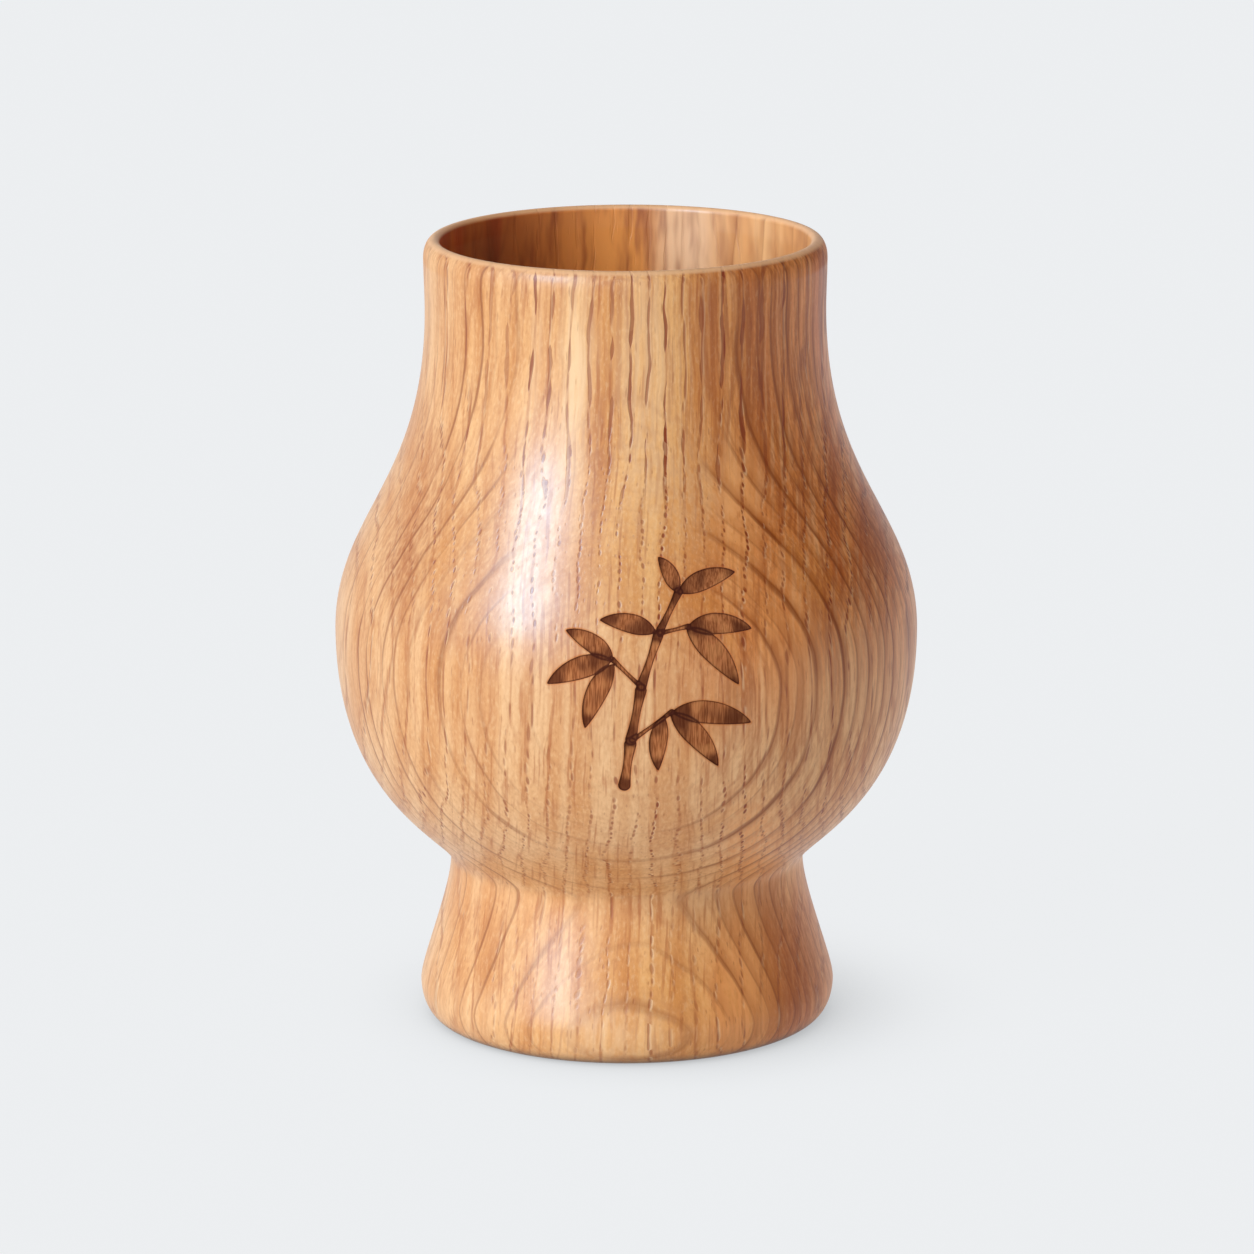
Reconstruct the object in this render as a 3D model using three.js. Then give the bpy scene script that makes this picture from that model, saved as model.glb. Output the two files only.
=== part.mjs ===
import * as THREE from 'three';

// A drinking cup turned from one blank of solid wood: a solid foot, a tight waist,
// a round belly and a narrow neck, hollowed through the mouth.
// Millimetres, +Z up. The origin is the centre of the flat ring that the cup stands on.

// Foot
const footRadius = 28.7;
const footEdgeInset = 2.7;
const footEdgeHeight = 4.7;

// The shallow hollow under the foot, and the flat ring left round it
const restRingWidth = 5;
const recessDepth = 1.4;
const recessSlope = 2.5;

// Waist, the narrowest place of the outside
const waistRadius = 24.4;
const waistAboveFootEdge = 17.4;

// Belly, the widest place
const bellyRadius = 40;
const bellyAboveWaist = 32.7;
const bellyWall = 3.5;

// Neck
const neckRadius = 27.3;
const neckAboveBelly = 44.8;
const neckWall = 2.5;

// Rim, a slight flare that ends in a lip, rounded off more on its outside than on its inside
const rimFlare = 0.15;
const rimAboveNeck = 9.4;
const lipThickness = 2.3;
const lipRoundHeight = 2.6;
const lipInnerRound = 0.8;

// Solid wood between the waist's height and the floor of the bowl
const bowlFloorBelowWaist = 3;

// How long a curve stays upright at an end, as a share of the height that it climbs
const grips = {
  footEdge: 0.13,
  underWaist: 0.26,
  overWaist: 0.13,
  underBelly: 0.757,
  overBelly: 0.347,
  underNeck: 0.551,
  rim: 0.35,
};

// An ellipse's quarter, drawn as one cubic curve
const ellipseGrip = 0.5523;

// Steps of the mesh: once round the axis, and along each stretch of the outline
const turnSteps = 60;
const edgeSteps = 5;
const sideSteps = 6;
const bellySteps = 12;
const shoulderSteps = 10;
const flareSteps = 2;
const lipOuterSteps = 4;
const lipInnerSteps = 3;

const finish = { color: '#cd9a68', roughness: 0.42, metalness: 0 };

// Heights above the table
const waistHeight = footEdgeHeight + waistAboveFootEdge;
const bellyHeight = waistHeight + bellyAboveWaist;
const neckHeight = bellyHeight + neckAboveBelly;
const cupHeight = neckHeight + rimAboveNeck;
const lipBase = cupHeight - lipRoundHeight;
const mouthEdge = cupHeight - lipInnerRound;
const bowlFloor = waistHeight - bowlFloorBelowWaist;

// Radii that follow from the sizes
const restRadius = footRadius - footEdgeInset;
const rimRadius = neckRadius + rimFlare;
const mouthRadius = rimRadius - lipThickness;
const crestRadius = mouthRadius + lipInnerRound;

function point(radius, height) {
  return new THREE.Vector2(radius, height);
}

// A stretch of outline that is upright at both of its ends
function uprightCurve(from, to, fromGrip, toGrip) {
  const climb = to.y - from.y;
  const leave = point(from.x, from.y + fromGrip * climb);
  const arrive = point(to.x, to.y - toGrip * climb);
  return new THREE.CubicBezierCurve(from, leave, arrive, to);
}

// The hollow under the foot and the flat ring round it
function undersidePoints() {
  const ringInside = restRadius - restRingWidth;
  return [point(0, recessDepth), point(ringInside - recessSlope, recessDepth), point(ringInside, 0)];
}

// From the table up to the start of the lip
function outsidePoints() {
  const footEdge = point(footRadius, footEdgeHeight);
  const waist = point(waistRadius, waistHeight);
  const belly = point(bellyRadius, bellyHeight);
  const neck = point(neckRadius, neckHeight);
  const rim = point(rimRadius, lipBase);
  const edge = new THREE.EllipseCurve(
    restRadius, footEdgeHeight, footEdgeInset, footEdgeHeight, -Math.PI / 2, 0,
  );
  return [
    edge.getPoints(edgeSteps),
    uprightCurve(footEdge, waist, grips.footEdge, grips.underWaist).getPoints(sideSteps),
    uprightCurve(waist, belly, grips.overWaist, grips.underBelly).getPoints(bellySteps),
    uprightCurve(belly, neck, grips.overBelly, grips.underNeck).getPoints(shoulderSteps),
    uprightCurve(neck, rim, grips.rim, grips.rim).getPoints(flareSteps),
  ].flat();
}

// Over the lip, from its outside to its inside
function lipPoints() {
  const outer = new THREE.EllipseCurve(
    crestRadius, lipBase, rimRadius - crestRadius, lipRoundHeight, 0, Math.PI / 2,
  );
  const inner = new THREE.EllipseCurve(
    crestRadius, mouthEdge, lipInnerRound, lipInnerRound, Math.PI / 2, Math.PI,
  );
  return [outer.getPoints(lipOuterSteps), inner.getPoints(lipInnerSteps)].flat();
}

// From the lip down to the middle of the bowl's floor
function insidePoints() {
  const mouth = point(mouthRadius, mouthEdge);
  const neck = point(neckRadius - neckWall, neckHeight);
  const belly = point(bellyRadius - bellyWall, bellyHeight);
  const bowl = new THREE.CubicBezierCurve(
    belly,
    point(belly.x, belly.y - ellipseGrip * (belly.y - bowlFloor)),
    point(belly.x * ellipseGrip, bowlFloor),
    point(0, bowlFloor),
  );
  return [
    uprightCurve(mouth, neck, grips.rim, grips.rim).getPoints(flareSteps),
    uprightCurve(neck, belly, grips.underNeck, grips.overBelly).getPoints(shoulderSteps),
    bowl.getPoints(bellySteps),
  ].flat();
}

// Stretches share their end points, so each place is kept once
function withoutRepeats(points) {
  return points.filter((place, i) => i === 0 || place.distanceTo(points[i - 1]) > 1e-6);
}

function turnedCup() {
  const outline = withoutRepeats([
    ...undersidePoints(),
    ...outsidePoints(),
    ...lipPoints(),
    ...insidePoints(),
  ]);
  const cup = new THREE.Mesh(
    new THREE.LatheGeometry(outline, turnSteps),
    new THREE.MeshStandardMaterial(finish),
  );
  cup.name = 'turned_cup';
  cup.rotation.x = Math.PI / 2;
  return cup;
}

const model = new THREE.Group();
model.add(turnedCup());

export default model;
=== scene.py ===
import math
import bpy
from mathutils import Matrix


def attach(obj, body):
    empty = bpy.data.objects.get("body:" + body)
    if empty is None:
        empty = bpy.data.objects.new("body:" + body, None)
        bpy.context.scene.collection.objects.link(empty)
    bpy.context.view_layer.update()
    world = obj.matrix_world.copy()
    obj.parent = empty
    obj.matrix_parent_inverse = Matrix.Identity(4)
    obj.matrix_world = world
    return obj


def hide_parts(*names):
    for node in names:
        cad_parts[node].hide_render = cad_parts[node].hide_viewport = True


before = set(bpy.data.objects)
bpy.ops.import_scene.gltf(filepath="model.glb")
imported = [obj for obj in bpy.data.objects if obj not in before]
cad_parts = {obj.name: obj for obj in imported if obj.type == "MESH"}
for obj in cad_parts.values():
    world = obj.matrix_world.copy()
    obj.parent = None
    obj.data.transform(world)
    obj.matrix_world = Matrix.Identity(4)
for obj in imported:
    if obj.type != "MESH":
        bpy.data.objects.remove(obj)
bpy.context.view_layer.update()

from types import SimpleNamespace

import bpy
import numpy as np
from mathutils import Matrix, Vector

MM = 0.001
PER_METRE = 1000.0

# Outside and inside of the cup, in millimetres, as the turned solid has them
FOOT_RADIUS = 28.7
FOOT_EDGE_INSET = 2.7
FOOT_EDGE_HEIGHT = 4.7
REST_RING_WIDTH = 5.0
RECESS_DEPTH = 1.4
RECESS_SLOPE = 2.5
WAIST_RADIUS = 24.4
WAIST_ABOVE_FOOT_EDGE = 17.4
BELLY_RADIUS = 40.0
BELLY_ABOVE_WAIST = 32.7
BELLY_WALL = 3.5
NECK_RADIUS = 27.3
NECK_ABOVE_BELLY = 44.8
NECK_WALL = 2.5
RIM_FLARE = 0.15
RIM_ABOVE_NECK = 9.4
LIP_THICKNESS = 2.3
LIP_ROUND_HEIGHT = 2.6
LIP_INNER_ROUND = 0.8
BOWL_FLOOR_BELOW_WAIST = 3.0

# How long each curve stays upright at an end, as a share of the height that it climbs
FOOT_EDGE_GRIP = 0.13
UNDER_WAIST_GRIP = 0.26
OVER_WAIST_GRIP = 0.13
UNDER_BELLY_GRIP = 0.757
OVER_BELLY_GRIP = 0.347
UNDER_NECK_GRIP = 0.551
RIM_GRIP = 0.35
ELLIPSE_GRIP = 0.5523

# How far the slope of the hollow under the foot stays level at both of its ends
RECESS_BEND = 1.0

WAIST_HEIGHT = FOOT_EDGE_HEIGHT + WAIST_ABOVE_FOOT_EDGE
BELLY_HEIGHT = WAIST_HEIGHT + BELLY_ABOVE_WAIST
NECK_HEIGHT = BELLY_HEIGHT + NECK_ABOVE_BELLY
CUP_HEIGHT = NECK_HEIGHT + RIM_ABOVE_NECK
LIP_BASE = CUP_HEIGHT - LIP_ROUND_HEIGHT
BOWL_FLOOR = WAIST_HEIGHT - BOWL_FLOOR_BELOW_WAIST
REST_RADIUS = FOOT_RADIUS - FOOT_EDGE_INSET
RIM_RADIUS = NECK_RADIUS + RIM_FLARE
MOUTH_RADIUS = RIM_RADIUS - LIP_THICKNESS
MOUTH_EDGE = CUP_HEIGHT - LIP_INNER_ROUND

# The carved sprig: where its middle lies on the belly, and how deep it is cut
SPRIG_ACROSS = 3.6
SPRIG_HEIGHT = 56.5
SPRIG_HALF_WIDTH = 16.5
SPRIG_HALF_HEIGHT = 16.0
CARVE_DEPTH = 0.17
CARVE_WALL = 0.22

# How full a stroke is near its ends, how much a cane narrows, and where a leaf is widest
STROKE_FULLNESS = 0.8
CANE_NARROWING = 0.3
LEAF_WIDEST = 0.4

# Distances in the carving: one that means nowhere near, how far a stroke reaches beyond its line,
# and how far outside a stroke its darker ends still count
FAR = 9.0
STROKE_REACH = 3.0
END_REACH = 0.3

# Mesh spacing in millimetres
SPRIG_STEP = 0.15
LIP_STEP = 0.1
EDGE_STEP = 0.3
OUTSIDE_STEP = 0.8
INSIDE_STEP = 1.0
REST_RING_STEP = 0.6
RECESS_STEP = 2.0
TURN_STEP = 1.2

# Where the finer spacing starts: below the lip, round the waist, and under the foot
BELOW_LIP = 1.0
ROUND_WAIST = 4.0
RECESS_MIDDLE = 15.0

# Rows of the mesh over which the lip's wood turns into the bowl's
BOWL_ROWS = 4.0


def bezier(start, leave, arrive, end, steps=80):
    """Points along a cubic curve."""
    t = np.linspace(0.0, 1.0, steps + 1)[:, None]
    s = 1.0 - t
    points = [np.array(p, dtype=float) for p in (start, leave, arrive, end)]
    return s**3 * points[0] + 3 * s * s * t * points[1] + 3 * s * t * t * points[2] + t**3 * points[3]


def upright_curve(start, end, start_grip, end_grip):
    """A stretch of outline, as (radius, height), that is upright at both of its ends."""
    climb = end[1] - start[1]
    leave = (start[0], start[1] + start_grip * climb)
    arrive = (end[0], end[1] - end_grip * climb)
    return bezier(start, leave, arrive, end)


def arc(centre, half_width, half_height, start, end, steps=40):
    """Part of an ellipse, from one angle to another in degrees."""
    a = np.radians(np.linspace(start, end, steps + 1))
    return np.stack([centre[0] + half_width * np.cos(a), centre[1] + half_height * np.sin(a)], axis=1)


def outside_outline():
    """From the flat ring on the table, over the lip's crest, to the inner edge of the mouth."""
    foot_edge = (FOOT_RADIUS, FOOT_EDGE_HEIGHT)
    waist = (WAIST_RADIUS, WAIST_HEIGHT)
    belly = (BELLY_RADIUS, BELLY_HEIGHT)
    neck = (NECK_RADIUS, NECK_HEIGHT)
    rim = (RIM_RADIUS, LIP_BASE)
    crest = MOUTH_RADIUS + LIP_INNER_ROUND
    return np.vstack([
        arc((REST_RADIUS, FOOT_EDGE_HEIGHT), FOOT_EDGE_INSET, FOOT_EDGE_HEIGHT, -90, 0),
        upright_curve(foot_edge, waist, FOOT_EDGE_GRIP, UNDER_WAIST_GRIP),
        upright_curve(waist, belly, OVER_WAIST_GRIP, UNDER_BELLY_GRIP),
        upright_curve(belly, neck, OVER_BELLY_GRIP, UNDER_NECK_GRIP),
        upright_curve(neck, rim, RIM_GRIP, RIM_GRIP),
        arc((crest, LIP_BASE), RIM_RADIUS - crest, LIP_ROUND_HEIGHT, 0, 90),
        arc((crest, MOUTH_EDGE), LIP_INNER_ROUND, LIP_INNER_ROUND, 90, 180),
    ])


def inside_outline():
    """From the inner edge of the mouth down to the middle of the bowl's floor."""
    mouth = (MOUTH_RADIUS, MOUTH_EDGE)
    neck = (NECK_RADIUS - NECK_WALL, NECK_HEIGHT)
    belly = (BELLY_RADIUS - BELLY_WALL, BELLY_HEIGHT)
    drop = BELLY_HEIGHT - BOWL_FLOOR
    return np.vstack([
        upright_curve(mouth, neck, RIM_GRIP, RIM_GRIP),
        upright_curve(neck, belly, UNDER_NECK_GRIP, OVER_BELLY_GRIP),
        bezier(belly, (belly[0], BELLY_HEIGHT - ELLIPSE_GRIP * drop),
               (belly[0] * ELLIPSE_GRIP, BOWL_FLOOR), (0.0, BOWL_FLOOR)),
    ])


def underside_outline():
    """The shallow hollow under the foot, from its middle to the flat ring."""
    ring_inside = REST_RADIUS - REST_RING_WIDTH
    bend = ring_inside - RECESS_BEND
    slope = bezier((ring_inside - RECESS_SLOPE, RECESS_DEPTH), (bend, RECESS_DEPTH),
                   (bend, 0.0), (ring_inside, 0.0), steps=12)
    return np.vstack([[0.0, RECESS_DEPTH], slope])


def spaced(points, step_at):
    """The same outline with its points a chosen step apart."""
    keep = np.r_[True, np.linalg.norm(np.diff(points, axis=0), axis=1) > 1e-9]
    points = points[keep]
    length = np.r_[0.0, np.cumsum(np.linalg.norm(np.diff(points, axis=0), axis=1))]
    places = [0.0]
    while places[-1] < length[-1]:
        here = [np.interp(places[-1], length, points[:, axis]) for axis in (0, 1)]
        places.append(places[-1] + step_at(*here))
    places = np.array(places) * length[-1] / places[-1]
    return np.stack([np.interp(places, length, points[:, axis]) for axis in (0, 1)], axis=1)


def outside_step(radius, height):
    """Fine where the sprig is cut and where the outline turns sharply."""
    if abs(height - SPRIG_HEIGHT) < SPRIG_HALF_HEIGHT:
        return SPRIG_STEP
    if height > LIP_BASE:
        return LIP_STEP
    by_lip = height > LIP_BASE - BELOW_LIP
    by_waist = abs(height - WAIST_HEIGHT) < ROUND_WAIST
    if by_lip or by_waist or height < FOOT_EDGE_HEIGHT:
        return EDGE_STEP
    return OUTSIDE_STEP


def inside_step(radius, height):
    return INSIDE_STEP


def under_step(radius, height):
    return REST_RING_STEP if radius > RECESS_MIDDLE else RECESS_STEP


def whole_outline():
    """From the middle of the underside, round the outside, to the middle of the bowl's floor."""
    outside = spaced(outside_outline(), outside_step)
    inside = spaced(inside_outline(), inside_step)
    under = spaced(underside_outline(), under_step)
    return np.vstack([under, outside, inside[1:]])


def turn_angles():
    """Angles round the axis from the front, -Y, towards +X: fine where the sprig is cut."""
    middle = SPRIG_ACROSS / BELLY_RADIUS
    half = SPRIG_HALF_WIDTH / BELLY_RADIUS
    fine = np.linspace(middle - half, middle + half, int(2 * SPRIG_HALF_WIDTH / SPRIG_STEP) + 1)
    rest = 2 * math.pi - 2 * half
    plain = np.linspace(middle + half, middle + half + rest, int(rest * BELLY_RADIUS / TURN_STEP) + 1)
    return np.r_[fine, plain[1:-1]]


# The carving: a sprig of bamboo in brush strokes, drawn in millimetres across and up from its middle
def stroke(start, bend, end, width, thickest=0.45, steps=90):
    """Discs along a bent line, swelling from a point to the full width and back."""
    t = np.linspace(0.0, 1.0, steps)[:, None]
    line = (1 - t)**2 * np.array(start) + 2 * t * (1 - t) * np.array(bend) + t * t * np.array(end)
    t = t[:, 0]
    swell = np.where(t < thickest, t / thickest, (1 - t) / (1 - thickest))
    return line, width / 2 * np.sin(swell * math.pi / 2)**STROKE_FULLNESS


def cane(start, end, width, steps=70):
    """A straight length of stem, a little thinner between its two ends."""
    t = np.linspace(0.0, 1.0, steps)[:, None]
    line = (1 - t) * np.array(start) + t * np.array(end)
    return line, width / 2 * (1 - CANE_NARROWING * np.sin(t[:, 0] * math.pi))


def leaf(root, angle, length, width, droop=0.12):
    """A bamboo leaf that leaves its root at an angle, in degrees anticlockwise from the right."""
    a = math.radians(angle)
    along = np.array([math.cos(a), math.sin(a)])
    side = np.array([along[1], -along[0]]) * (1 if along[0] >= 0 else -1)
    end = np.array(root) + along * length
    bend = np.array(root) + along * length * 0.5 - side * droop * length
    return stroke(root, bend, end, width, thickest=LEAF_WIDEST)


def sprig_strokes():
    canes = [
        cane((-3.9, -14.2), (-3.1, -8.3), 1.7),
        cane((-3.0, -7.6), (-1.7, -0.9), 1.6),
        cane((-1.6, -0.2), (0.6, 6.2), 1.45),
        cane((0.9, 6.9), (3.3, 11.4), 1.2),
        cane((-2.8, -7.7), (2.4, -3.9), 0.8),
        cane((-1.6, -0.5), (-5.4, 3.2), 0.8),
        cane((0.9, 6.5), (4.6, 7.2), 0.75),
    ]
    leaves = [
        leaf((2.5, -3.9), -12, 11.2, 3.2),
        leaf((2.2, -4.2), -50, 10.2, 3.0),
        leaf((1.4, -4.6), -96, 7.6, 2.5),
        leaf((-5.4, 3.2), 150, 7.2, 2.5),
        leaf((-5.6, 3.0), 201, 9.2, 3.0),
        leaf((-5.2, 2.6), 246, 9.6, 2.9),
        leaf((4.6, 7.2), -6, 9.0, 2.7),
        leaf((4.4, 6.9), -47, 10.6, 3.1),
        leaf((3.3, 11.4), 14, 8.2, 2.6),
        leaf((3.2, 11.5), 121, 5.0, 2.1),
        leaf((0.3, 6.6), 168, 7.6, 2.5),
    ]
    return canes + leaves


def carving_fields(across, up):
    """How far each place is inside the cut and from a stroke's outline, and how near a stroke's end."""
    inside = np.full(across.shape, -FAR)
    outline = np.full(across.shape, FAR)
    ends = np.zeros(across.shape)
    for line, half_width in sprig_strokes():
        low, high = line.min(axis=0) - STROKE_REACH, line.max(axis=0) + STROKE_REACH
        near = (across > low[0]) & (across < high[0]) & (up > low[1]) & (up < high[1])
        x, y = across[near], up[near]
        depth = np.full(x.shape, -FAR)
        along = np.zeros(x.shape)
        for t, (disc_x, disc_y), half in zip(np.linspace(-1, 1, len(line)), line, half_width):
            here = half - np.hypot(x - disc_x, y - disc_y)
            along = np.where(here > depth, t * t, along)
            depth = np.maximum(depth, here)
        ends[near] = np.maximum(ends[near], np.where(depth > -END_REACH, along, 0.0))
        inside[near] = np.maximum(inside[near], depth)
        outline[near] = np.minimum(outline[near], np.abs(depth))
    return inside, outline, ends


def smooth(value):
    t = np.clip(value, 0.0, 1.0)
    return t * t * (3 - 2 * t)


def outline_normals(outline):
    tangent = np.gradient(outline, axis=0)
    normal = np.stack([tangent[:, 1], -tangent[:, 0]], axis=1)
    return normal / np.linalg.norm(normal, axis=1)[:, None]


def cup_faces(rows, turns):
    """Four-sided faces between the rows of vertices, and a fan round the pole at each end."""
    row, column = np.meshgrid(np.arange(rows - 1), np.arange(turns), indexing="ij")
    after = (column + 1) % turns
    quads = np.stack([row * turns + column, row * turns + after,
                      (row + 1) * turns + after, (row + 1) * turns + column], axis=2).reshape(-1, 4)
    first = np.arange(turns)
    second = (first + 1) % turns
    bottom, floor = rows * turns, rows * turns + 1
    last = (rows - 1) * turns
    fans = [(bottom, int(b), int(a)) for a, b in zip(first, second)]
    fans += [(floor, int(last + a), int(last + b)) for a, b in zip(first, second)]
    return quads.tolist() + fans


def cup_mesh():
    """The turned cup with the sprig cut into its belly; each vertex knows its place in the carving."""
    outline = whole_outline()
    angles = turn_angles()
    rows, turns = len(outline) - 2, len(angles)
    ring = outline[1:-1]
    normal = outline_normals(outline)[1:-1]

    radius = ring[:, 0][:, None] * np.ones(turns)
    height = ring[:, 1][:, None] * np.ones(turns)
    turn = np.ones(rows)[:, None] * ((angles + math.pi) % (2 * math.pi) - math.pi)
    across = turn * radius - SPRIG_ACROSS
    up = height - SPRIG_HEIGHT
    on_belly = (np.abs(across) < SPRIG_HALF_WIDTH) & (np.abs(up) < SPRIG_HALF_HEIGHT)
    on_belly &= (normal[:, 0] > 0)[:, None]
    inside = np.full(radius.shape, -FAR)
    edge = np.full(radius.shape, FAR)
    ends = np.zeros(radius.shape)
    inside[on_belly], edge[on_belly], ends[on_belly] = carving_fields(across[on_belly], up[on_belly])
    crest = int(np.argmax(ring[:, 1]))
    bowl = np.clip((np.arange(rows) - crest) / BOWL_ROWS, 0.0, 1.0)[:, None] * np.ones(turns)
    cut = CARVE_DEPTH * smooth(inside / CARVE_WALL)
    radius = radius - cut * normal[:, 0][:, None]
    height = height - cut * normal[:, 1][:, None]

    grid = np.stack([radius * np.sin(angles), -radius * np.cos(angles), height], axis=2)
    poles = np.array([[0.0, 0.0, outline[0][1]], [0.0, 0.0, outline[-1][1]]])
    vertices = np.vstack([grid.reshape(-1, 3), poles]) * MM

    mesh = bpy.data.meshes.new("lacquered_cup")
    mesh.from_pydata(vertices.tolist(), [], cup_faces(rows, turns))
    mesh.update()
    mesh.shade_smooth()

    # Each field over the grid, then at the pole of the underside and at that of the bowl's floor
    fields = (("carving", inside, -FAR, -FAR), ("carving_outline", edge, FAR, FAR),
              ("carving_ends", ends, 0.0, 0.0), ("bowl", bowl, 0.0, 1.0))
    for name, field, under, over in fields:
        values = np.r_[field.reshape(-1), under, over].astype(np.float32)
        mesh.attributes.new(name, "FLOAT", "POINT").data.foreach_set("value", values)
    return mesh


def linear(hex_colour):
    """A screen colour such as "d8a070" as the shader wants it, by the standard screen curve."""
    channels = [int(hex_colour[i:i + 2], 16) / 255 for i in (0, 2, 4)]
    return tuple(c / 12.92 if c <= 0.04045 else ((c + 0.055) / 1.055)**2.4 for c in channels) + (1.0,)


class Wiring:
    """Short calls that add and join the nodes of one material, or of the world."""

    def __init__(self, owner):
        owner.use_nodes = True
        self.tree = owner.node_tree
        self.tree.nodes.clear()

    def add(self, kind, inputs, **settings):
        node = self.tree.nodes.new(kind)
        for key, value in settings.items():
            setattr(node, key, value)
        for socket, value in inputs.items():
            if isinstance(value, bpy.types.NodeSocket):
                self.tree.links.new(value, node.inputs[socket])
            else:
                node.inputs[socket].default_value = value
        return node

    def math(self, operation, *values):
        return self.add("ShaderNodeMath", dict(enumerate(values)), operation=operation).outputs[0]

    def product(self, *values):
        """All the values multiplied together, from the left."""
        result = values[0]
        for value in values[1:]:
            result = self.math("MULTIPLY", result, value)
        return result

    def vector(self, operation, *values):
        return self.add("ShaderNodeVectorMath", dict(enumerate(values)), operation=operation).outputs[0]

    def scaled(self, vector, x, y, z):
        return self.vector("MULTIPLY", vector, (x, y, z))

    def joined(self, x, y, z):
        return self.add("ShaderNodeCombineXYZ", {0: x, 1: y, 2: z}).outputs[0]

    def over(self, places, lengths):
        """The vector of three places, each over its own length."""
        return self.joined(*[self.math("DIVIDE", place, length) for place, length in zip(places, lengths)])

    def times(self, places, rates):
        """The vector of three places, each times its own rate."""
        return self.joined(*[self.math("MULTIPLY", place, rate) for place, rate in zip(places, rates)])

    def noise(self, vector, detail, output="Fac"):
        inputs = {"Vector": vector, "Scale": 1.0, "Detail": detail, "Roughness": 0.5}
        return self.add("ShaderNodeTexNoise", inputs).outputs[output]

    def random(self, vector, output="Value"):
        dice = self.add("ShaderNodeTexWhiteNoise", {"Vector": vector}, noise_dimensions="3D")
        return dice.outputs[output]

    def attribute(self, name):
        return self.add("ShaderNodeAttribute", {}, attribute_name=name).outputs["Fac"]

    def split(self, vector):
        return self.add("ShaderNodeSeparateXYZ", {0: vector}).outputs

    def ramp(self, value, low, high, start=0.0, end=1.0):
        """A smooth step from start to end while the value goes from low to high."""
        inputs = {"Value": value, "From Min": low, "From Max": high, "To Min": start, "To Max": end}
        return self.add("ShaderNodeMapRange", inputs, interpolation_type="SMOOTHSTEP").outputs[0]

    def mix(self, share, first, second, blend="MIX"):
        inputs = {0: share, 6: first, 7: second}
        return self.add("ShaderNodeMix", inputs, data_type="RGBA", blend_type=blend).outputs[2]

    def layer(self, colour, tint, *shares):
        """The colour with a tint laid over it, as strongly as the product of the shares."""
        return self.mix(self.product(*shares), colour, tint)


# Wood, in millimetres. The year rings lie flat across the cup's front, so depth counts from the
# belly's front, and the vessels run up the cup in rows that go straight back from the front.
# Each year line: depth, half width, strength at the left, strength at the right.
YEAR_LINES = (
    (0.0, 0.10, 0.0, 0.0), (2.4, 0.10, 0.2, 0.2), (5.2, 0.14, 0.25, 0.7), (6.6, 0.10, 0.45, 0.4),
    (8.8, 0.30, 0.55, 0.85), (10.5, 0.10, 0.1, 0.3), (12.5, 0.26, 0.2, 1.0), (14.7, 0.15, 0.55, 0.5),
    (16.8, 0.18, 0.6, 0.8), (18.7, 0.10, 0.15, 0.5), (20.3, 0.16, 0.7, 0.7), (22.8, 0.18, 0.75, 0.9),
    (25.2, 0.12, 0.12, 0.5), (27.4, 0.10, 0.18, 0.45), (29.1, 0.18, 0.42, 0.55), (32.4, 0.16, 0.24, 0.36),
    (35.6, 0.12, 0.3, 0.18), (38.2, 0.18, 0.36, 0.32), (41.3, 0.12, 0.24, 0.18), (44.2, 0.2, 0.36, 0.36),
    (47.4, 0.1, 0.24, 0.18), (50.2, 0.2, 0.48, 0.36), (53.5, 0.12, 0.24, 0.23), (56.3, 0.16, 0.7, 0.7),
    (59.9, 0.12, 0.5, 0.6), (63.8, 0.2, 0.8, 0.9), (67.6, 0.12, 0.5, 0.5), (70.9, 0.18, 0.7, 0.7),
    (74.2, 0.12, 0.4, 0.5), (77.4, 0.16, 0.7, 0.7), (80.6, 0.12, 0.4, 0.4),
)
YEAR_DEPTHS, YEAR_HALF_WIDTHS, YEAR_LEFT, YEAR_RIGHT = zip(*YEAR_LINES)
WOOD_DEPTH = 81.0

# More than the widest distance from one year line to the next but one
WIDEST_SPAN = 20.0

# How the grain wanders: the length of its waves across, in depth and up the cup, how far they push
# it across and in depth, and their detail
SWAY = ((30.0, 30.0, 34.0), (1.6, 2.2), 1.0)
RIPPLE = ((6.0, 9.0, 9.0), (0.7, 0.5), 1.0)
WAVER = ((2.5, 4.0, 3.5), (0.2, 0.1), 0.0)
MIDDLE_GREY = (0.5, 0.5, 0.5)

# The rows of vessels: their spacing, how far they drift, and how much those at the left lean
ROW_SPACING = 2.8
ROW_DRIFT = 0.9
ROW_LEAN = 0.06

# The vessels in a row: spacing, radius, how far each is off its place along the row and aside of it,
# and what a distance across counts against one in depth, so that a vessel shows wider than deep
VESSEL_SPACING = 0.44
VESSEL_RADIUS = 0.15
VESSEL_SHIFT = 0.3
VESSEL_ASIDE = 0.32
ACROSS_SHARE = 0.8

# How far the pale tissue reaches round a vessel, painted only on its right side as a glint of the window's
# light, and half the width of the long dashes in the neck
HALO = 0.18
DASH_HALF_WIDTH = 0.29

# Stretched noises in the wood: length across, in depth and up the cup, and detail
GRAINS = {
    "bands": (2.4, 14.0, 70.0, 1.0),
    "strands": (0.7, 4.0, 30.0, 1.0),
    "patches": (13.0, 5.0, 20.0, 2.0),
    "fibres": (0.6, 0.6, 18.0, 1.0),
    "growth": (7.0, 0.4, 12.0, 1.0),
    "tissue": (0.36, 0.36, 0.9, 2.0),
    "rays": (0.5, 7.0, 9.0, 1.0),
    "mottle": (2.0, 9.0, 10.0, 2.0),
    "hatch": (0.14, 0.4, 2.6, 2.0),
    "pool": (2.2, 5.0, 3.0, 1.0),
}
FINE_PORE_CELL = (0.9, 0.8, 6.0)
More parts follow.
